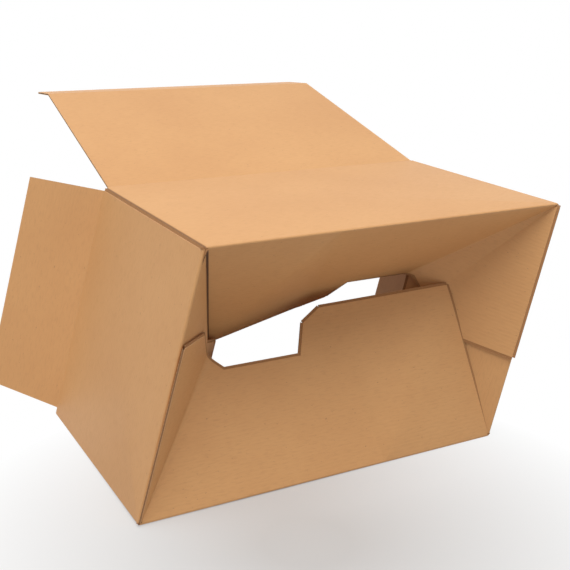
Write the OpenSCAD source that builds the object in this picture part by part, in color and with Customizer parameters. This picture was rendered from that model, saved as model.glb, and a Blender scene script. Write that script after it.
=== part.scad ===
// Corrugated carton with a folded crash-lock base, a hinged lid with a tuck lip and two dust flaps.
// It lies on one long wall. The base is half set up, so the sleeve leans and the base flaps point inward.

/* [Sleeve] */
// Length of the long walls, crease to crease
carton_length = 310; // [270:1:360]
// Width of the short walls, crease to crease
carton_width = 200; // [180:1:230]
// Height of all walls, from the base creases to the flap creases
carton_height = 200; // [160:1:300]
// Thickness of the corrugated board
board = 1.6; // [1.2:0.1:2.4]
// Angle between the bottom wall and the left wall, which is 90 when the carton is square
sleeve_angle = 75.2; // [70:0.1:82]
// Width of the glued joint strip inside the left wall
joint_width = 30; // [20:1:45]
// Slant of the joint strip's two ends
joint_slant = 8; // [2:0.5:15]
// Slot left between the top wall's fold and the left wall's cut edge
joint_slot = 1.2; // [0.5:0.1:3]

/* [Long base flaps] */
// Inward fold of the bottom base flap at its glued end
bottom_fold = 31; // [24:0.5:36]
// Inward fold of the bottom base flap at its free end
bottom_free_fold = 21.5; // [14:0.5:24]
// Inward fold of the top base flap at its glued end
top_fold = 47.5; // [40:0.5:50]
// Inward fold of the top base flap at its free end
top_free_fold = 39; // [32:0.5:44]
// Depth of each long flap at its free half
hook_depth = 130; // [115:1:140]
// Depth of each long flap at its glued half
low_depth = 95; // [80:1:105]
// Distance from the glued corner to the end of the glued half
low_end = 154; // [135:1:165]
// Sideways run of the hook's steep step
step_run = 9; // [2:1:14]
// Height of the hook's steep step
step_rise = 25; // [12:1:30]
// Sideways run of the hook's sloping shoulder
shoulder_run = 17; // [8:1:24]
// Cut-back of the bottom flap's free side, in degrees
bottom_side_taper = 7.5; // [2:0.5:18]
// Cut-back of the top flap's free side, in degrees
top_side_taper = 16; // [10:0.5:20]
// Distance from the glued corner to the start of the soft twist, along the fold
twist_start = 205; // [180:1:240]
// Cut-back of the flaps' free sides at the two corners with no tab
free_gap = 0.8; // [0.5:0.1:2]

/* [Glued base tabs] */
// Reach of the tab across the short base flap, at its shoulder
tab_reach = 74; // [60:1:85]
// Distance from the corner to the tab's shoulder, along the short flap's fold
tab_shoulder = 108; // [100:1:118]
// Length of the tab's far edge
tab_far_edge = 50; // [30:1:65]
// Length of the glued half's low edge past the diagonal crease
tab_overrun = 7; // [2:0.5:12]
// Distance that the glue line presses the two layers into each other
glue_press = 0.05; // [0.02:0.01:0.1]

/* [Short base flaps] */
// Inward fold of the two short base flaps
side_fold = 49; // [44:0.5:53]
// Depth of the short base flaps
side_depth = 101; // [85:1:110]
// Lean of the glued side, measured at the flap's inner edge
side_lean = 30; // [24:1:40]
// Distance from the glued corner to the elbow of the free side
elbow_place = 119; // [105:1:130]
// Depth of the elbow of the free side
elbow_depth = 73; // [60:1:80]

/* [Lid] */
// Length of the lid, from its hinge crease to the lip crease
lid_length = 200; // [185:1:215]
// Cut-back of the lid's two sides, in degrees
lid_taper = 2.1; // [0:0.1:6]
// Raise of the lid above the level of the top wall
lid_raise = 15.5; // [5:0.5:40]
// Length of the tuck lip
lip_length = 40; // [25:1:55]
// Bend of the tuck lip toward the inside of the lid
lip_bend = 19.5; // [5:0.5:60]
// Radius of the lip's two corners
lip_corner = 4; // [1:0.5:12]

/* [Dust flaps] */
// Length of the dust flaps
dust_length = 65; // [50:1:85]
// Cut-back of the dust flaps' two sides, in degrees
dust_taper = 4.5; // [2:0.5:12]
// Notch beside the lower end of each dust flap
dust_notch = 6; // [4:0.5:12]
// Outward splay of the left dust flap
left_splay = 50; // [20:1:70]
// Outward splay of the right dust flap
right_splay = 40; // [20:1:42]

/* [Flap creases] */
// Setback of the flaps' other sides from the ends of their creases
crease_end = 2.5; // [1.5:0.5:5]
// Clearance between a wall's edge and the rounded root of its flap
crease_gap = 0.3; // [0.2:0.05:0.5]

/* [Hidden] */
$fn = 48;
sleeve_rise = carton_width * sin(sleeve_angle);
sleeve_lean = carton_width * cos(sleeve_angle);
fill_radius = board / 2 - 0.02;
fold_margin = board / 4;
// A flap turns about an axis a little outside the middle of the board, so it can fold either way
axis_offset = 0.3 * board;
root_radius = board / 2 + axis_offset;
wall_setback = root_radius + crease_gap;
glued_layer = board - glue_press;
// The bottom wall's middle layer at the base end, with the carton centred on the wall it lies on
base_corner = [-carton_length / 2, -carton_height / 2, board / 2];
inward = [0, 1, 0];
long_way = [1, 0, 0];
short_way = [cos(sleeve_angle), 0, sin(sleeve_angle)];
from_long = [0, 0, 1];
from_short = [sin(sleeve_angle), 0, -cos(sleeve_angle)];
kraft_outside = "#d2a373";
kraft_inside = "#c39462";

function unit(v) = v / norm(v);
function flap_way(from, fold) = cos(fold) * from + sin(fold) * inward;
function frame_of(p, q, r) =
    let (x = unit(q - p), z = unit(cross(q - p, r - p)), y = cross(z, x))
    [x, y, z];

// A flat outline in the plane of two unit vectors, as thick as the board
module sheet(place, x, y, outline) {
    z = cross(x, y);
    multmatrix([
        [x[0], y[0], z[0], place[0]],
        [x[1], y[1], z[1], place[1]],
        [x[2], y[2], z[2], place[2]],
        [0, 0, 0, 1]
    ])
    translate([0, 0, -board / 2])
        linear_extrude(board)
            polygon(outline);
}

// A three-cornered sheet between points of the board's middle layer
module facet(p, q, r) {
    axes = frame_of(p, q, r);
    sheet(p, axes[0], axes[1], [
        [0, 0],
        [norm(q - p), 0],
        [(r - p) * axes[0], (r - p) * axes[1]]
    ]);
}

// The rounded outside of a fold between two points, stopping just short of both
module fold(p, q) {
    z = unit(q - p);
    side = abs(z[2]) < 0.9 ? [0, 0, 1] : [1, 0, 0];
    x = unit(cross(side, z));
    y = cross(z, x);
    multmatrix([
        [x[0], y[0], z[0], p[0]],
        [x[1], y[1], z[1], p[1]],
        [x[2], y[2], z[2], p[2]],
        [0, 0, 0, 1]
    ])
    translate([0, 0, fold_margin])
        cylinder(h = norm(q - p) - 2 * fold_margin, r = fill_radius);
}

// One long base flap in its own plane, up to the start of its twist
module hook_panel(flap) {
    sheet([0, 0, 0], long_way, flap, [
        [0, 0],
        [twist_start, 0],
        [low_end + step_run + shoulder_run, hook_depth],
        [low_end + step_run, low_depth + step_rise],
        [low_end, low_depth],
        [low_depth, low_depth]
    ]);
}

// The free end of a long base flap, which twists out to its own fold angle
module hook_end(flap, free_fold, side_taper) {
    free_end = carton_length - free_gap;
    hook_start = (low_end + step_run + shoulder_run) * long_way + hook_depth * flap;
    hook_corner = (free_end - hook_depth * tan(side_taper)) * long_way
        + hook_depth * flap_way(from_long, free_fold);
    root_start = twist_start * long_way;
    root_end = free_end * long_way;
    facet(root_start, hook_corner, hook_start);
    facet(root_start, root_end, hook_corner);
    fold(root_start, hook_start);
    fold(root_start, hook_corner);
}

// The end of a long flap past its diagonal crease, glued flat on the short flap beside it
module glued_tab(flap, side_flap, outward) {
    crease_tip = low_depth * long_way + low_depth * flap;
    layer = glued_layer * outward;
    shoulder = layer + tab_shoulder * short_way + tab_reach * side_flap;
    diagonal = unit(crease_tip);
    meeting = glued_layer / (diagonal * outward) * diagonal;
    root = [(meeting - layer) * short_way, (meeting - layer) * side_flap];
    // The narrow facet between the diagonal crease and the soft bend beside it
    axes = frame_of(meeting, crease_tip, shoulder);
    tip = norm(crease_tip - meeting);
    sheet(meeting, axes[0], axes[1], [
        [0, 0],
        [tip, 0],
        [tip - tab_overrun * cos(45), tab_overrun * sin(45)],
        [(shoulder - meeting) * axes[0], (shoulder - meeting) * axes[1]]
    ]);
    fold([0, 0, 0], crease_tip);
    fold(meeting, shoulder);
    sheet(layer, short_way, side_flap, [
        root,
        [crease_end, 0],
        [hook_depth, 0],
        [hook_depth, tab_far_edge],
        [tab_shoulder, tab_reach]
    ]);
}

// One short base flap, which carries the glued tab on its outer face
module side_panel(side_flap) {
    sheet([0, 0, 0], short_way, side_flap, [
        [crease_end, 0],
        [side_lean, side_depth],
        [elbow_place - 4, side_depth],
        [elbow_place, elbow_depth],
        [carton_width - free_gap, 0]
    ]);
    fold([0, 0, 0], (carton_width - free_gap) * short_way);
}

// One glued corner of the base: a long flap, its tab and the short flap under the tab
module base_corner_flaps(fold_angle, free_fold, side_taper) {
    flap = flap_way(from_long, fold_angle);
    side_flap = flap_way(from_short, side_fold);
    outward = sin(side_fold) * from_short - cos(side_fold) * inward;
    hook_panel(flap);
    hook_end(flap, free_fold, side_taper);
    fold([0, 0, 0], (carton_length - free_gap) * long_way);
    glued_tab(flap, side_flap, outward);
    side_panel(side_flap);
}

module sleeve() {
    hinged = carton_height - wall_setback;
    top_left = sleeve_lean * long_way + sleeve_rise * from_long;
    joint_layer = glued_layer * from_short;
    // The top wall folds down inside the left wall, one layer further in
    joint_fold = top_left + glued_layer / sin(sleeve_angle) * long_way;
    long_outline = [
        [0, 0],
        [carton_length, 0],
        [carton_length, carton_height],
        [0, carton_height]
    ];
    sheet([0, 0, 0], long_way, inward, long_outline);
    sheet(carton_length * long_way, short_way, inward, [
        [0, 0],
        [carton_width, 0],
        [carton_width, hinged],
        [0, hinged]
    ]);
    sheet(joint_fold, long_way, inward, [
        [0, 0],
        [carton_length - glued_layer / sin(sleeve_angle), 0],
        [carton_length - glued_layer / sin(sleeve_angle), hinged],
        [0, hinged]
    ]);
    sheet([0, 0, 0], short_way, inward, [
        [0, 0],
        [carton_width - joint_slot, 0],
        [carton_width - joint_slot, hinged],
        [0, hinged]
    ]);
    sheet(joint_fold, -short_way, inward, [
        [0, 0],
        [joint_width, joint_slant],
        [joint_width, hinged - joint_slant],
        [0, hinged]
    ]);
    fold([0, 0, 0], hinged * inward);
    fold(carton_length * long_way, carton_length * long_way + hinged * inward);
    fold(joint_fold, joint_fold + hinged * inward);
    fold(
        top_left + carton_length * long_way,
        top_left + carton_length * long_way + hinged * inward
    );
}

module carton() {
    color(kraft_outside)
    translate(base_corner) {
        sleeve();
        base_corner_flaps(bottom_fold, bottom_free_fold, bottom_side_taper);
        translate((carton_length + sleeve_lean) * long_way + sleeve_rise * from_long)
            rotate([0, 180, 0])
                base_corner_flaps(top_fold, top_free_fold, top_side_taper);
    }
}

// A flap in its own frame: X along the crease, Y away from the wall and Z outward
module flap_sheet(outline, root_start, root_end) {
    translate([0, 0, -root_radius])
        linear_extrude(board)
            polygon(outline);
    intersection() {
        translate([root_start, 0, 0])
            rotate([0, 90, 0])
                cylinder(h = root_end - root_start, r = root_radius);
        translate([root_start, -root_radius, -root_radius])
            cube([root_end - root_start, root_radius, board]);
    }
}

// Carries a flap to the far edge of the left wall, or of the right wall turned half round
module at_left_crease() {
    translate(base_corner + carton_height * inward - axis_offset * from_short)
        rotate([0, -sleeve_angle, 0])
            children();
}

module at_right_crease() {
    translate(base_corner
        + carton_height * inward
        + (carton_length + sleeve_lean) * long_way
        + sleeve_rise * from_long
        + axis_offset * from_short)
        rotate([0, 180 - sleeve_angle, 0])
            children();
}

// The dust flap's lower end has the notch, and its upper end lies beside the lid
module dust_outline(low_end_first) {
    first = low_end_first ? dust_notch : crease_end;
    last = carton_width - (low_end_first ? crease_end : dust_notch);
    inset = dust_length * tan(dust_taper);
    flap_sheet([
        [first, 0],
        [last, 0],
        [last - inset, dust_length],
        [first + inset, dust_length]
    ], first, last);
}

module left_dust_flap() {
    color(kraft_outside)
        at_left_crease()
            rotate([left_splay, 0, 0])
                dust_outline(true);
}

module right_dust_flap() {
    color(kraft_outside)
        at_right_crease()
            rotate([right_splay, 0, 0])
                dust_outline(false);
}

module at_lid_crease() {
    translate(base_corner
        + carton_height * inward
        + sleeve_lean * long_way
        + (sleeve_rise + axis_offset) * from_long)
        rotate([lid_raise, 0, 0])
            children();
}

module lid() {
    edge = lid_length - wall_setback;
    inset = edge * tan(lid_taper);
    color(kraft_outside)
        at_lid_crease()
            flap_sheet([
                [crease_end, 0],
                [carton_length - crease_end, 0],
                [carton_length - crease_end - inset, edge],
                [crease_end + inset, edge]
            ], crease_end, carton_length - crease_end);
}

module tuck_lip() {
    first = crease_end + lid_length * tan(lid_taper);
    last = carton_length - first;
    color(kraft_inside)
        at_lid_crease()
            translate([0, lid_length, 0])
                rotate([-lip_bend, 0, 0])
                    flap_sheet([
                        [first, 0],
                        [last, 0],
                        [last, lip_length - lip_corner],
                        [last - lip_corner, lip_length],
                        [first + lip_corner, lip_length],
                        [first, lip_length - lip_corner]
                    ], first, last);
}

carton();
lid();
tuck_lip();
left_dust_flap();
right_dust_flap();
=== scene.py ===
import math

import bmesh
import bpy
from mathutils import Matrix, Vector


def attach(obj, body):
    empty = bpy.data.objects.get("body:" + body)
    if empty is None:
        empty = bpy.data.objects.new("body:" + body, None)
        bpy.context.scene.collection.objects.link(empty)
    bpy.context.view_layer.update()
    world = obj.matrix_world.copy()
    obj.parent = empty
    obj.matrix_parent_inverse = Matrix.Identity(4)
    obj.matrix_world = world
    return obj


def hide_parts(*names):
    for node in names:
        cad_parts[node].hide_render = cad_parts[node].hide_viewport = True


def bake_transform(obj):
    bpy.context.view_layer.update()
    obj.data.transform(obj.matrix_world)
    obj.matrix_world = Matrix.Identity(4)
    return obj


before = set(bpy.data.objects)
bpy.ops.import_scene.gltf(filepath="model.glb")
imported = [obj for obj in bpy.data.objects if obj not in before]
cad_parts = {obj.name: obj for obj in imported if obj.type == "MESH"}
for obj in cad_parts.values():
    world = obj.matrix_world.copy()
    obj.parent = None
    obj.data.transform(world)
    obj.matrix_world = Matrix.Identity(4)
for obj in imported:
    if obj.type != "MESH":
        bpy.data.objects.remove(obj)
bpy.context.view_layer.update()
print("frame loaded")

mm = 0.001
tiny = 1e-5
straightFold = 89.9  # half the angle between a fold's arms, past which it has no arc
along, inward, upward = Vector((1, 0, 0)), Vector((0, 1, 0)), Vector((0, 0, 1))


def unit(v):
    return v.normalized()


def slerp(a, b, share):
    angle = a.angle(b, 0)
    if angle < tiny:
        return a.lerp(b, share)
    return (math.sin((1 - share) * angle) * a + math.sin(share * angle) * b) / math.sin(angle)


def smooth(low, high, value):
    share = min(max((value - low) / (high - low), 0), 1)
    return share * share * (3 - 2 * share)


def turned(start, way, degrees):
    # the direction start, turned towards way
    return math.cos(math.radians(degrees)) * start + math.sin(math.radians(degrees)) * way


def roundedCorner(armA, armB, share):
    # an arc that touches both arms of a fold at their ends
    reach = (armA.length + armB.length) / 2
    a, b = unit(armA), unit(armB)
    half = a.angle(b) / 2
    if half > math.radians(straightFold):
        return a.lerp(b, share) * reach
    centre = unit(a + b) * reach / math.cos(half)
    return centre + slerp(a * reach - centre, b * reach - centre, share)


class Wire:
    # one socket, so that shader maths reads as plain maths
    def __init__(self, graph, socket):
        self.graph, self.socket = graph, socket

    def maths(self, operation, first, second):
        return self.graph.add("ShaderNodeMath", {"operation": operation}, {0: first, 1: second})

    def __add__(self, other):
        return self.maths("ADD", self, other)

    def __radd__(self, other):
        return self.maths("ADD", other, self)

    def __sub__(self, other):
        return self.maths("SUBTRACT", self, other)

    def __rsub__(self, other):
        return self.maths("SUBTRACT", other, self)

    def __mul__(self, other):
        return self.maths("MULTIPLY", self, other)

    def __rmul__(self, other):
        return self.maths("MULTIPLY", other, self)


class Graph:
    # the nodes of one material, or of the world
    def __init__(self, owner):
        owner.use_nodes = True
        self.owner = owner
        self.nodes, self.links = owner.node_tree.nodes, owner.node_tree.links

    def add(self, kind, settings=None, values=None, out=0):
        node = self.nodes.new(kind)
        for key, value in (settings or {}).items():
            setattr(node, key, value)
        for key, value in (values or {}).items():
            self.feed(node.inputs[key], value)
        return Wire(self, node.outputs[out])

    def feed(self, socket, value):
        if isinstance(value, Wire):
            self.links.new(value.socket, socket)
        else:
            socket.default_value = value

    def surface(self, **values):
        for name, value in values.items():
            self.feed(self.nodes["Principled BSDF"].inputs[name.replace("_", " ")], value)

    def blend(self, share, first, second):
        return self.add("ShaderNodeMix", {"data_type": "RGBA"}, {0: share, 6: first, 7: second}, out=2)

    def spread(self, value, low, high, least=0, most=1):
        return self.add("ShaderNodeMapRange", {}, {0: value, 1: low, 2: high, 3: least, 4: most})

    def noise(self, place, scale, detail, stretch=(1, 1, 1)):
        longer = self.add("ShaderNodeVectorMath", {"operation": "MULTIPLY"}, {0: place, 1: stretch})
        values = {"Vector": longer, "Scale": scale, "Detail": detail, "Roughness": kraft["grainRoughness"]}
        return self.add("ShaderNodeTexNoise", {}, values)

    def bump(self, height):
        values = {"Strength": kraft["bump"], "Distance": kraft["bumpDepth"], "Height": height}
        return self.add("ShaderNodeBump", {}, values)


def linear(red, green, blue):
    # a colour as a picture shows it, 0 to 255, turned into the light it reflects
    def one(value):
        value /= 255
        return value / 12.92 if value <= 0.04045 else ((value + 0.055) / 1.055) ** 2.4
    return (one(red), one(green), one(blue), 1)


kraft = {
    "liner": linear(217, 164, 108),
    "linerDeep": linear(206, 151, 97),
    "fibre": linear(184, 134, 88),
    "speck": linear(140, 96, 60),
    # the cut colour is partly the paler colour of cut board and partly a painted highlight, brighter than
    # the lit top so the rims look lit
    "cut": linear(248, 216, 176),
    "medium": linear(158, 112, 70),
    # the next colour is painted shade: near-black for the recess between the liners at a cut edge
    "hollowShade": linear(46, 26, 12),
    # the next two colours are painted shade, for the liner's dark bands where the board lies in shade
    "slitShade": linear(74, 42, 18),
    "fold": linear(150, 104, 62),
    "leastRough": 0.44,
    "mostRough": 0.62,
    "gloss": 0.45,
    "bump": 0.3,
    "bumpDepth": 0.0002,
    "grainRoughness": 0.55,
    "flutePitch": 3.0,
    "waveDrift": 1.5,
    "waveShare": 0.05,
    "washboard": 0.25,
    "fibreRise": 0.35,
    "blotchRise": 0.6,
    "bandCore": 0.35,
    "bandEdge": 0.5,
}
# the paper's grain, coarse to fine: where each noise starts and ends, and how much of its colour it adds
grains = {
    "clouds": {
        "scale": 9, "detail": 2, "stretch": (1, 1, 1), "share": (0.3, 0.7, 0, 0.6), "colour": "linerDeep",
    },
    "blotches": {
        "scale": 60, "detail": 3, "stretch": (1, 1.6, 1), "share": (0.45, 0.8, 0, 0.3),
        "colour": "linerDeep",
    },
    "fibres": {
        "scale": 900, "detail": 2, "stretch": (0.16, 1, 1), "share": (0.5, 0.85, 0, 0.4), "colour": "fibre",
    },
    "specks": {
        "scale": 620, "detail": 1, "stretch": (0.5, 1, 1), "share": (0.72, 0.8, 0, 0.5), "colour": "speck",
    },
}
rawBoard = {"scale": 1400, "detail": 2, "roughness": 0.85}


def linerMaterial(name, shadeLines):
    # kraft paper over flutes, with painted shade: darker bands along the blank where the board lies in
    # shade, each given as centre and width in mm, and colour
    g = Graph(bpy.data.materials.new(name))
    blank = g.add("ShaderNodeUVMap", {"uv_map": "blank"})
    girth = g.add("ShaderNodeSeparateXYZ", {}, {0: blank}, out=0)
    depth = g.add("ShaderNodeSeparateXYZ", {}, {0: blank}, out=1)
    tone, noises = kraft["liner"], {}
    for grain, look in grains.items():
        noises[grain] = g.noise(blank, look["scale"], look["detail"], look["stretch"])
        tone = g.blend(g.spread(noises[grain], *look["share"]), tone, kraft[look["colour"]])
    fibres, blotches = noises["fibres"], noises["blotches"]
    phase = depth * (2 * math.pi / (kraft["flutePitch"] * mm)) + blotches * kraft["waveDrift"]
    wave = g.add("ShaderNodeMath", {"operation": "SINE"}, {0: phase})
    tone = g.blend(g.spread(wave, -1, 1, 0, kraft["waveShare"]), tone, kraft["linerDeep"])
    # painted shade: each band darkens the paper along one line of the blank
    for centre, width, colour in shadeLines:
        away = g.add("ShaderNodeMath", {"operation": "ABSOLUTE"}, {0: girth - centre * mm})
        shadeBand = g.spread(away, width * kraft["bandCore"] * mm, width * kraft["bandEdge"] * mm, 1, 0)
        tone = g.blend(shadeBand, tone, kraft[colour])
    height = wave * kraft["washboard"] + fibres * kraft["fibreRise"] + blotches * kraft["blotchRise"]
    g.surface(Base_Color=tone, Roughness=g.spread(fibres, 0, 1, kraft["leastRough"], kraft["mostRough"]))
    g.surface(Normal=g.bump(height), Specular_IOR_Level=kraft["gloss"])
    return g.owner


def cutMaterial(name, colour, deep):
    # the torn, fibrous look of board where it is cut
    g = Graph(bpy.data.materials.new(name))
    blank = g.add("ShaderNodeUVMap", {"uv_map": "blank"})
    grain = g.noise(blank, rawBoard["scale"], rawBoard["detail"])
    g.surface(Base_Color=g.blend(grain, colour, deep), Roughness=rawBoard["roughness"])
    g.surface(Normal=g.bump(grain))
    return g.owner


carton = {
    "length": 310, "width": 200, "height": 200, "board": 1.6, "sleeveAngle": 75.2,
    "jointWidth": 30, "jointSlant": 8, "jointSlot": 2.0, "creaseEnd": 2.5, "freeGap": 0.8,
    "wallSetback": 1.58, "glue": 0.02, "foldArm": 1.5, "cornerReach": 6, "aimDepth": 4.5,
}
longFlap = {
    "hookDepth": 130, "lowDepth": 95, "lowEnd": 154, "stepRun": 9, "stepRise": 25, "shoulderRun": 17,
    "twistStart": 205, "twistSoftness": 4, "twistCuts": range(42, 106, 4),
}
bottomFlap = {"fold": 31, "freeFold": 21.5, "sideTaper": 7.5}
topFlap = {"fold": 47.5, "freeFold": 39, "sideTaper": 16}
gluedTab = {
    "crease": 45, "reach": 74, "shoulder": 108, "farEdge": 50, "overrun": 7, "springback": 0.6,
    "starts": 40, "creaseSoftness": 0.9, "bendSoftness": 2.6, "liftFrom": 12, "restShare": 0.3,
    "bendCuts": (43.8, 44.4, 45, 45.6, 46.2, 49, 51, 53, 55, 57, 59, 62),
}
shortFlap = {"fold": 49, "depth": 101, "lean": 30, "elbowPlace": 119, "elbowDepth": 73, "elbowRun": 4}
softSteps = 3  # how many places to each side a soft bend is averaged over
sleeveCuts = 3  # how many cuts to each side of a sleeve corner make it round
baseCuts = 4  # the same for the base crease
foldSettle = 6  # how deep a flap's corner reaches before it is square, in mm

cartonLength, cartonWidth, board = carton["length"], carton["width"], carton["board"]
lean = math.radians(carton["sleeveAngle"])
shortWay = Vector((math.cos(lean), 0, math.sin(lean)))
fromShort = Vector((math.sin(lean), 0, -math.cos(lean)))
corner = Vector((-cartonLength / 2, -carton["height"] / 2, board / 2))
layer = board + carton["glue"]
arm = carton["foldArm"]
backEdge = carton["height"] - carton["wallSetback"]
turnStart = cartonLength + cartonWidth
jointMark = turnStart + cartonLength
# painted shade: dark bands along the blank, just past the joint's fold where the groove at the joint lies
# in shade, and where the joint tail lies in shade beside the top base flap's free side
shadeBands = {"pastFold": 1.5, "tailPlace": 60, "width": 4}
tailMark = jointMark + shadeBands["tailPlace"]

linerPaper = linerMaterial("kraftLiner", [
    (jointMark + shadeBands["pastFold"], shadeBands["width"], "fold"), (tailMark, shadeBands["width"], "slitShade")])
# partly painted highlight: the cut edges get a colour brighter than cut board has
cutBoardHighlight = cutMaterial("cutBoardHighlight", kraft["cut"], kraft["liner"])
fluteMedium = cutMaterial("fluteMedium", kraft["medium"], kraft["fibre"])
# painted shade: the recess behind the flute medium is coloured near-black
fluteHollowShade = cutMaterial("fluteHollowShade", kraft["hollowShade"], kraft["fibre"])
print("materials made")


# the sleeve's cross-section: the left wall's cut edge, four corners, and the joint strip's end
jointFold = shortWay * cartonWidth + along * (layer / math.sin(lean))
section = [
    shortWay * cartonWidth, Vector((0, 0, 0)), along * cartonLength,
    along * cartonLength + shortWay * cartonWidth, jointFold, jointFold - shortWay * carton["jointWidth"],
]
marks = [-cartonWidth, 0, cartonLength, turnStart, jointMark, jointMark + carton["jointWidth"]]
markSlack = 1e-6  # mm, so that a point on a mark belongs to the wall after it


def sectionPoint(s):
    # the point of the sleeve that lies s along the girth
    for i in range(1, 5):
        if abs(s - marks[i]) < arm:
            before = unit(section[i - 1] - section[i]) * arm
            after = unit(section[i + 1] - section[i]) * arm
            return section[i] + roundedCorner(before, after, (s - marks[i] + arm) / (2 * arm))
    i = max(k for k in range(5) if s >= marks[k] - markSlack or k == 0)
    share = (s - marks[i]) / (marks[i + 1] - marks[i])
    return section[i].lerp(section[i + 1], share)


def freeCorner(flap):
    taper = math.tan(math.radians(flap["sideTaper"]))
    return cartonLength - carton["freeGap"] - longFlap["hookDepth"] * taper


def tabPoint(x, h, flapWay):
    # past the diagonal crease the flap bends back, softly once more, and lies on the short flap
    sideWay = turned(fromShort, inward, shortFlap["fold"])
    outward = turned(-inward, fromShort, shortFlap["fold"])
    angle, reach = math.degrees(math.atan2(h, x)), math.hypot(x, h)
    tip = unit(along + flapWay)
    shoulder = unit(shortWay * gluedTab["shoulder"] + sideWay * gluedTab["reach"] + outward * layer)
    diagonal = gluedTab["crease"]
    bend = diagonal + math.degrees(tip.angle(shoulder))

    def ray(at):
        if at <= diagonal:
            return turned(along, flapWay, at)
        if at <= bend:
            return slerp(tip, shoulder, (at - diagonal) / (bend - diagonal))
        return slerp(shoulder, shortWay, (at - bend) / (90 - bend))

    spread = gluedTab["creaseSoftness"] + gluedTab["bendSoftness"] * smooth(diagonal, bend, angle)
    rays = (ray(angle + spread * k / softSteps) for k in range(-softSteps, softSteps + 1))
    point = unit(sum(rays, Vector())) * reach
    lift = (layer + gluedTab["springback"]) * min(reach / gluedTab["liftFrom"], 1) - point.dot(outward)
    restFrom = (1 - gluedTab["restShare"]) * diagonal + gluedTab["restShare"] * bend
    return point + outward * max(lift, 0) * smooth(restFrom, bend, angle)


def hookPoint(x, h, flap):
    # a long base flap past its base crease: a glued tab at one side, a softly twisted free end at the other
    flapWay = turned(upward, inward, flap["fold"])
    if math.degrees(math.atan2(h, x)) > gluedTab["starts"]:
        return tabPoint(x, h, flapWay)
    twist = longFlap["twistStart"]
    turn, reach = math.degrees(math.atan2(h, x - twist)), math.hypot(x - twist, h)
    hookStart = longFlap["lowEnd"] + longFlap["stepRun"] + longFlap["shoulderRun"]
    hookTurn = math.degrees(math.atan2(longFlap["hookDepth"], hookStart - twist))
    freeTurn = math.degrees(math.atan2(longFlap["hookDepth"], freeCorner(flap) - twist))
    freeWay = turned(upward, inward, flap["freeFold"])
    hookRay, freeRay = turned(along, flapWay, hookTurn), turned(along, freeWay, freeTurn)

    def ray(at):
        if at >= hookTurn:
            return turned(along, flapWay, at)
        if at <= freeTurn:
            return turned(along, freeWay, at)
        whole = math.sin(math.radians(hookTurn - freeTurn))
        toHook = math.sin(math.radians(at - freeTurn)) / whole
        toFree = math.sin(math.radians(hookTurn - at)) / whole
        return hookRay * toHook + freeRay * toFree

    softness = longFlap["twistSoftness"]
    rays = (ray(turn + softness * k / softSteps) for k in range(-softSteps, softSteps + 1))
    return along * twist + unit(sum(rays, Vector())) * ray(turn).length * reach


def basePoint(s, h):
    # the blank's point s along the girth and h past the base crease, folded into the half-open base
    point = sectionPoint(s)
    if h < -arm:
        return corner + point - inward * h
    onTop = s > cartonLength
    if onTop:
        s -= turnStart

    def past(depth):
        if s < 0:
            return turned(fromShort, inward, shortFlap["fold"]) * depth
        return hookPoint(s, depth, topFlap if onTop else bottomFlap) - along * s

    if h > arm or (h > 0 and 0 <= s < carton["cornerReach"]):
        offset = past(h)
        if 0 <= s < arm:
            square = section[3] - along * s if onTop else along * s
            point -= (point - square) * smooth(0, foldSettle, h)
    else:
        offset = roundedCorner(inward * arm, unit(past(carton["aimDepth"])) * arm, (h + arm) / (2 * arm))
    if onTop:
        offset = Vector((-offset.x, offset.y, -offset.z))
    return corner + point + offset


# how near two points count as one: on the flat blank in mm, on the finished solid in metres
weld = {"cut": 1e-5, "flat": 1e-4, "solid": 1e-6}


def flatBlank(outline, cuts):
    # the blank as it lies flat, in mm, cut wherever it will bend
    bm = bmesh.new()
    bm.faces.new([bm.verts.new((x, y, 0)) for x, y in outline])
    bm.normal_update()
    bmesh.ops.triangulate(bm, faces=bm.faces[:])
    for place, normal in cuts:
        bmesh.ops.bisect_plane(
            bm, geom=bm.verts[:] + bm.edges[:] + bm.faces[:], plane_co=(*place, 0), plane_no=(*normal, 0),
            dist=weld["cut"])
    bmesh.ops.remove_doubles(bm, verts=bm.verts[:], dist=weld["flat"])
    return bm


flutes = {
    "linerShare": 0.26, "recess": 2.2, "mediumShare": 0.1, "mediumSink": 0.08, "swing": 0.19,
    "stepsPerPitch": 10,
}
slots = {"liner": 0, "cut": 1, "medium": 2, "hollowShade": 3}


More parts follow.
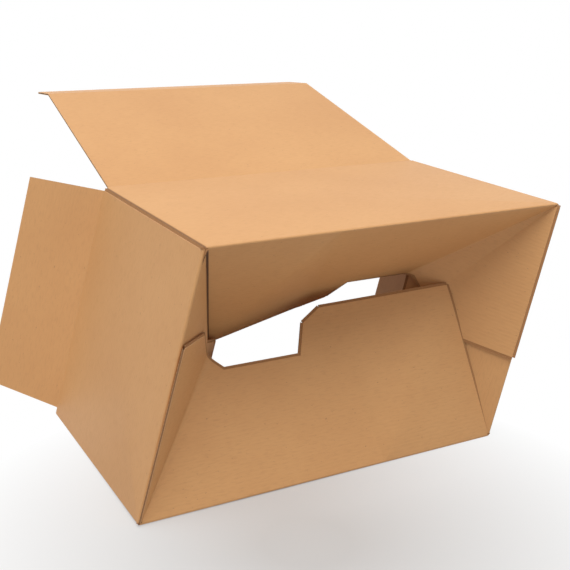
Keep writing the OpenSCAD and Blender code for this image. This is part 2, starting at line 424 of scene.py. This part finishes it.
def openEdge(bm, uv, rim, plain):
    # turns one plain rim face of the board into two liners with the wavy medium between them, and a recess
    # behind the medium coloured near-black as painted shade
    loops = list(rim.loops)
    if len(loops) != 4:
        return
    pairs = [(loops[i], loops[(i + 1) % 4]) for i in range(4)]
    longest, first = max(((a[uv].uv - b[uv].uv).length, i) for i, (a, b) in enumerate(pairs))
    if longest < tiny:
        return
    a, b = pairs[first]
    c, d = pairs[(first + 2) % 4]
    outerA, outerB, innerA, innerB = a.vert.co.copy(), b.vert.co.copy(), d.vert.co.copy(), c.vert.co.copy()
    uvA, uvB = a[uv].uv.copy(), b[uv].uv.copy()
    if plain((uvA + uvB) / 2 / mm):
        return
    into = -rim.normal * flutes["recess"] * mm

    def rimPoint(at, share, deep):
        low, high = outerA.lerp(innerA, share), outerB.lerp(innerB, share)
        return low.lerp(high, at) + into * deep

    def strip(points, slot, ats):
        face = bm.faces.new([bm.verts.new(p) for p in points])
        face.material_index = slots[slot]
        for loop, at in zip(face.loops, ats):
            loop[uv].uv = uvA.lerp(uvB, at)

    thin = flutes["linerShare"]
    profile = [(0, 0), (thin, 0), (thin, 1), (1 - thin, 1), (1 - thin, 0), (1, 0)]
    # the middle strip is the recess, coloured as painted shade
    kinds = ["cut", "medium", "hollowShade", "medium", "cut"]
    for (shareA, deepA), (shareB, deepB), kind in zip(profile, profile[1:], kinds):
        points = [
            rimPoint(0, shareA, deepA), rimPoint(1, shareA, deepA),
            rimPoint(1, shareB, deepB), rimPoint(0, shareB, deepB),
        ]
        strip(points, kind, (0, 1, 1, 0))
    pitch = kraft["flutePitch"] * mm
    steps = max(1, math.ceil(abs(uvB.y - uvA.y) / pitch * flutes["stepsPerPitch"]))
    half, sink = flutes["mediumShare"] / 2, flutes["mediumSink"]
    before, lastRing = 0, None
    for k in range(steps + 1):
        at = k / steps
        height = uvA.y + (uvB.y - uvA.y) * at
        middle = 0.5 + flutes["swing"] * math.sin(2 * math.pi * height / pitch)
        ring = [
            rimPoint(at, middle - half, sink), rimPoint(at, middle + half, sink),
            rimPoint(at, middle + half, 1), rimPoint(at, middle - half, 1),
        ]
        if lastRing:
            for i in range(4):
                j = (i + 1) % 4
                strip([lastRing[i], ring[i], ring[j], lastRing[j]], "medium", (before, at, at, before))
        before, lastRing = at, ring
    bm.faces.remove(rim)


sharpFrom = 30  # degrees between two faces from which the edge between them looks sharp
edgeSlack = {"wall": 0.5, "flap": 0.01}  # how near to its line a hidden rim lies, in mm


def foldedBoard(name, outline, cuts, place, plain=lambda spot: False):
    # cuts the flat blank, folds it in place, gives it the board's thickness and opens its fluted edges
    bm = flatBlank(outline, cuts)
    uv = bm.loops.layers.uv.new("blank")
    for face in bm.faces:
        for loop in face.loops:
            loop[uv].uv = (loop.vert.co.x * mm, loop.vert.co.y * mm)
    for vert in bm.verts:
        vert.co = place(vert.co.x, vert.co.y) * mm
    mesh = bpy.data.meshes.new(name)
    bm.to_mesh(mesh)
    bm.free()
    piece = bpy.data.objects.new(name, mesh)
    bpy.context.scene.collection.objects.link(piece)
    for material in (linerPaper, cutBoardHighlight, fluteMedium, fluteHollowShade):
        mesh.materials.append(material)
    thick = piece.modifiers.new("thickness", "SOLIDIFY")
    thick.thickness, thick.offset = board * mm, 0
    thick.material_offset_rim = slots["cut"]
    solid = bpy.data.meshes.new_from_object(piece.evaluated_get(bpy.context.evaluated_depsgraph_get()))
    piece.modifiers.clear()
    piece.data = solid
    solid.name = name
    bm = bmesh.new()
    bm.from_mesh(solid)
    bmesh.ops.recalc_face_normals(bm, faces=bm.faces[:])
    uv = bm.loops.layers.uv["blank"]
    for rim in [face for face in bm.faces if face.material_index == slots["cut"]]:
        openEdge(bm, uv, rim, plain)
    bmesh.ops.remove_doubles(bm, verts=bm.verts[:], dist=weld["solid"])
    bmesh.ops.recalc_face_normals(bm, faces=bm.faces[:])
    bm.to_mesh(solid)
    bm.free()
    for polygon in solid.polygons:
        polygon.use_smooth = polygon.material_index == slots["liner"]
    solid.set_sharp_from_angle(angle=math.radians(sharpFrom))
    return piece


def cornerCuts():
    # where the flat blank is cut so that its folds come out round: a place on each cut, and its normal
    cuts = []
    for mark in marks[1:5]:
        cuts += [((mark + arm * k / sleeveCuts, 0), (1, 0)) for k in range(-sleeveCuts, sleeveCuts + 1)]
    cuts += [((0, arm * k / baseCuts), (0, 1)) for k in range(-baseCuts, baseCuts + 1)]
    for start in (0, turnStart):
        for centre, angles in ((0, gluedTab["bendCuts"]), (longFlap["twistStart"], longFlap["twistCuts"])):
            for degrees in angles:
                tilt = math.radians(degrees)
                cuts.append(((start + centre, 0), (-math.sin(tilt), math.cos(tilt))))
    return cuts


def baseEdge(flap):
    # the base side of the blank, from one short flap's free side to the next long flap's free side
    end, free = carton["creaseEnd"], carton["freeGap"]
    depth, low, lowEnd = longFlap["hookDepth"], longFlap["lowDepth"], longFlap["lowEnd"]
    step = lowEnd + longFlap["stepRun"]
    elbow = -shortFlap["elbowPlace"]
    return [
        (free - cartonWidth, 0), (elbow, shortFlap["elbowDepth"]),
        (elbow + shortFlap["elbowRun"], shortFlap["depth"]), (-shortFlap["lean"], shortFlap["depth"]),
        (-end, 0), (0, 0), (0, depth), (gluedTab["farEdge"], depth), (low - gluedTab["overrun"], low),
        (lowEnd, low), (step, low + longFlap["stepRise"]), (step + longFlap["shoulderRun"], depth),
        (freeCorner(flap), depth), (cartonLength - free, 0),
    ]


def cartonOutline():
    slant, stripEnd = carton["jointSlant"], jointMark + carton["jointWidth"]
    cutEdge = carton["jointSlot"] - cartonWidth
    points = [(cutEdge, -backEdge), (cutEdge, 0)] + baseEdge(bottomFlap)
    points += [(x + turnStart, y) for x, y in baseEdge(topFlap)]
    points += [(jointMark, 0), (stripEnd, -slant), (stripEnd, slant - backEdge), (jointMark, -backEdge)]
    return points[::-1]


def hiddenRim(spot):
    # the wall edges that carry on as flaps past the far creases
    return spot.y < edgeSlack["wall"] - backEdge


sleeve = foldedBoard("foldedCarton", cartonOutline(), cornerCuts(), basePoint, hiddenRim)
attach(sleeve, "carton")
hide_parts("carton")
print("sleeve and base made,", len(sleeve.data.polygons), "faces")

jointTail = {
    "width": 12, "rootWidth": 3, "taperLength": 30, "tuckIn": 22, "start": 3, "end": 122,
    "grooveReach": 1.5,
}


def jointTailPiece():
    # the joint strip runs on along the top base flap's free side, tucked behind the short flap
    outward = turned(-inward, fromShort, shortFlap["fold"])
    taper = math.tan(math.radians(topFlap["sideTaper"]))

    def edgePoint(h):
        return basePoint(turnStart + cartonLength - carton["freeGap"] - h * taper, h)

    root, tip = edgePoint(jointTail["start"]), edgePoint(jointTail["end"])
    edgeWay = unit(tip - root)
    across = unit(outward.cross(edgeWay))
    if across.dot(along) > 0:
        across = -across
    across = unit(across - outward * math.tan(math.radians(jointTail["tuckIn"])))
    length, width = (tip - root).length, jointTail["width"]
    outline = [
        (0, 0), (0, length), (-width, length - jointTail["start"]), (-width, jointTail["taperLength"]),
        (-jointTail["rootWidth"], 0),
    ]
    rim = tailMark + jointTail["grooveReach"]

    def place(s, h):
        return root + edgeWay * h + across * (rim - s - board / 4)

    piece = foldedBoard("jointTail", [(x + rim, y) for x, y in outline][::-1], [], place)
    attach(piece, "carton")


jointTailPiece()
print("joint tail made")

crease = {"axisOffset": 0.3 * board, "reach": 1.5, "cuts": 4}


def hingeFrame(axisPoint, across, straight, outward, fold):
    # the crease of a flap: where it is, and which way the flap leaves it
    return {
        "axisPoint": axisPoint, "across": across, "straight": straight, "outward": outward,
        "flapWay": turned(straight, outward, fold), "flapOut": turned(outward, -straight, fold),
    }


def flapPiece(name, node, hinge, outline, origin):
    # a flap with the strip of board that bends through its crease; origin is where it lies on the blank
    reach, sunk, count = crease["reach"], crease["axisOffset"], crease["cuts"]

    def place(s, h):
        x, y = s - origin[0], h - origin[1]
        inWall = hinge["straight"] * y - hinge["outward"] * sunk
        inFlap = hinge["flapWay"] * y - hinge["flapOut"] * sunk
        return hinge["axisPoint"] + hinge["across"] * x + inWall.lerp(inFlap, smooth(-reach, reach, y))

    cuts = [((0, origin[1] + reach * k / count), (0, 1)) for k in range(-count, count + 1)]
    blank = [(x + origin[0], y + origin[1]) for x, y in outline]
    root = min(y for x, y in blank)
    ends = (root, max(y for x, y in blank)) if node == "lid" else (root, root)

    def hidden(spot):
        return min(abs(spot.y - end) for end in ends) < edgeSlack["flap"]

    piece = foldedBoard(name, blank, cuts, place, hidden)
    middle = unit(hinge["straight"] + hinge["flapWay"]) * reach
    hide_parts(node)
    (hinge["axisPoint"] - middle) * mm
    (hinge["axisPoint"] + middle) * mm
    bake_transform(piece)


lid = {
    "length": 200, "taper": 2.1, "raise": 15.5, "blankPlace": (turnStart, 600),
    "lipLength": 40, "lipBend": 19.5, "lipCorner": 4, "lipArc": range(0, 91, 15),
    "lipBlankPlace": (turnStart, 850),
}


def lidAndLip():
    far, first, setback = lid["length"], carton["creaseEnd"], carton["wallSetback"]
    last = cartonLength - first
    axis = corner + inward * carton["height"] + shortWay * cartonWidth + upward * crease["axisOffset"]
    hinge = hingeFrame(axis, along, inward, upward, lid["raise"])
    inset = far * math.tan(math.radians(lid["taper"]))
    flapPiece("lidPanel", "lid", hinge, [
        (first, -setback), (last, -setback), (last, 0), (last - inset, far - setback),
        (first + inset, far - setback), (first, 0)], lid["blankPlace"])
    lipAxis = axis + hinge["flapWay"] * far
    lipHinge = hingeFrame(lipAxis, along, hinge["flapWay"], hinge["flapOut"], -lid["lipBend"])
    first, last, end, cut = first + inset, last - inset, lid["lipLength"], lid["lipCorner"]
    turns = [math.radians(a) for a in lid["lipArc"]]
    arc = [(cut * math.cos(a), cut * math.sin(a)) for a in turns]
    outline = [(first, -setback), (last, -setback)]
    outline += [(last - cut + x, end - cut + y) for x, y in arc]
    outline += [(first + cut - x, end - cut + y) for x, y in reversed(arc)]
    flapPiece("tuckLip", "tuck_lip", lipHinge, outline, lid["lipBlankPlace"])


dust = {
    "length": 65, "taper": 4.5, "notch": 6, "leftSplay": 50, "rightSplay": 40,
    "leftBlankPlace": (-300, 600), "rightBlankPlace": (-300, 700),
}


def dustFlap(name, node, hinge, first, last, blankPlace):
    far, setback = dust["length"], carton["wallSetback"]
    inset = far * math.tan(math.radians(dust["taper"]))
    outline = [
        (first, -setback), (last, -setback), (last, 0),
        (last - inset, far), (first + inset, far), (first, 0),
    ]
    flapPiece(name, node, hinge, outline, blankPlace)


def dustFlaps():
    end, notch = carton["creaseEnd"], dust["notch"]
    back = corner + inward * carton["height"]
    leftAxis = back - fromShort * crease["axisOffset"]
    rightAxis = back + along * cartonLength + shortWay * cartonWidth + fromShort * crease["axisOffset"]
    leftHinge = hingeFrame(leftAxis, shortWay, inward, -fromShort, dust["leftSplay"])
    rightHinge = hingeFrame(rightAxis, -shortWay, inward, fromShort, dust["rightSplay"])
    leftPlace, rightPlace = dust["leftBlankPlace"], dust["rightBlankPlace"]
    dustFlap("leftDustFlap", "left_dust_flap", leftHinge, notch, cartonWidth - end, leftPlace)
    dustFlap("rightDustFlap", "right_dust_flap", rightHinge, end, cartonWidth - notch, rightPlace)


lidAndLip()
dustFlaps()
print("lid, lip and dust flaps made")

studio = {
    "white": (1, 1, 1, 1), "worldLight": 0.36, "lampTarget": (0, 0, 0.1),
    "overhead": {"place": (-0.15, -0.42, 2.05), "size": 1.6, "power": 32.5},
    "leftFill": {"place": (-1.75, -0.1, 0.9), "size": 1.2, "power": 5},
    "floorSize": 6, "floorColour": (0.56, 0.55, 0.54, 1), "floorRoughness": 0.9,
    "shadowCentre": (-0.06, -0.17, 0), "shadowReach": (0.03, 0.26), "paleBehind": (-0.02, 0.12),
}


def directRays(g):
    # 1 for what the camera sees directly, in a reflection or through glass
    rays = g.add("ShaderNodeLightPath").socket.node
    names = ("Is Camera Ray", "Is Glossy Ray", "Is Transmission Ray")
    seen, glossy, through = (Wire(g, rays.outputs[name]) for name in names)
    return g.add("ShaderNodeMath", {"operation": "ADD", "use_clamp": True}, {0: seen + glossy, 1: through})


def floorPlane():
    # grey floor which, for camera rays, glows white away from the shadow in front of the carton and behind
    # it: painted light that fades the real shadow out there
    bm = bmesh.new()
    bmesh.ops.create_grid(bm, x_segments=2, y_segments=2, size=studio["floorSize"])
    mesh = bpy.data.meshes.new("floor")
    bm.to_mesh(mesh)
    bm.free()
    floor = bpy.data.objects.new("floor", mesh)
    bpy.context.scene.collection.objects.link(floor)
    g = Graph(bpy.data.materials.new("floorWithPaintedLight"))
    g.surface(Base_Color=studio["floorColour"], Roughness=studio["floorRoughness"])
    place, centre = g.add("ShaderNodeNewGeometry"), studio["shadowCentre"]
    away = g.add("ShaderNodeVectorMath", {"operation": "DISTANCE"}, {0: place, 1: centre}, out=1)
    around = g.spread(away, *studio["shadowReach"])
    behind = g.spread(g.add("ShaderNodeSeparateXYZ", {}, {0: place}, out=1), *studio["paleBehind"])
    share = g.add("ShaderNodeMath", {"operation": "MAXIMUM"}, {0: around, 1: behind})
    # painted light: a white glow the camera sees on the floor
    white = g.add("ShaderNodeEmission", {}, {"Color": studio["white"], "Strength": 1})
    plain = Wire(g, g.nodes["Principled BSDF"].outputs[0])
    mix = g.add("ShaderNodeMixShader", {}, {0: directRays(g) * share, 1: plain, 2: white})
    g.feed(g.nodes["Material Output"].inputs[0], mix)
    mesh.materials.append(g.owner)


def areaLight(name):
    lamp = studio[name]
    light = bpy.data.lights.new(name, "AREA")
    light.shape, light.size, light.energy = "DISK", lamp["size"], lamp["power"]
    lampObject = bpy.data.objects.new(name, light)
    lampObject.location = lamp["place"]
    aim = Vector(studio["lampTarget"]) - Vector(lamp["place"])
    lampObject.rotation_euler = aim.to_track_quat("-Z", "Y").to_euler()
    bpy.context.scene.collection.objects.link(lampObject)


def whiteWorld():
    world = bpy.data.worlds.new("studio")
    bpy.context.scene.world = world
    g = Graph(world)
    lit = g.nodes["Background"]
    g.feed(lit.inputs["Color"], studio["white"])
    g.feed(lit.inputs["Strength"], studio["worldLight"])
    white = g.add("ShaderNodeBackground", {}, {"Color": studio["white"], "Strength": 1})
    mix = g.add("ShaderNodeMixShader", {}, {0: directRays(g), 1: Wire(g, lit.outputs[0]), 2: white})
    g.feed(g.nodes["World Output"].inputs[0], mix)


floorPlane()
areaLight("overhead")
areaLight("leftFill")
whiteWorld()
bpy.context.scene.view_settings.view_transform = "Standard"

viewpoint = {
    "place": (-359.4, -672.2, 370.4), "right": (0.87792, -0.47840, 0.01964),
    "ahead": (0.46079, 0.83304, -0.30615), "lens": 62.38, "sensor": 36,
}
camera = bpy.data.cameras.new("view")
camera.lens, camera.sensor_width = viewpoint["lens"], viewpoint["sensor"]
eye = bpy.data.objects.new("view", camera)
right, back = Vector(viewpoint["right"]), -Vector(viewpoint["ahead"])
facing = Matrix((right, back.cross(right), back)).transposed()
eye.matrix_world = Matrix.LocRotScale(Vector(viewpoint["place"]) * mm, facing, None)
bpy.context.scene.collection.objects.link(eye)
bpy.context.scene.camera = eye
print("studio made")
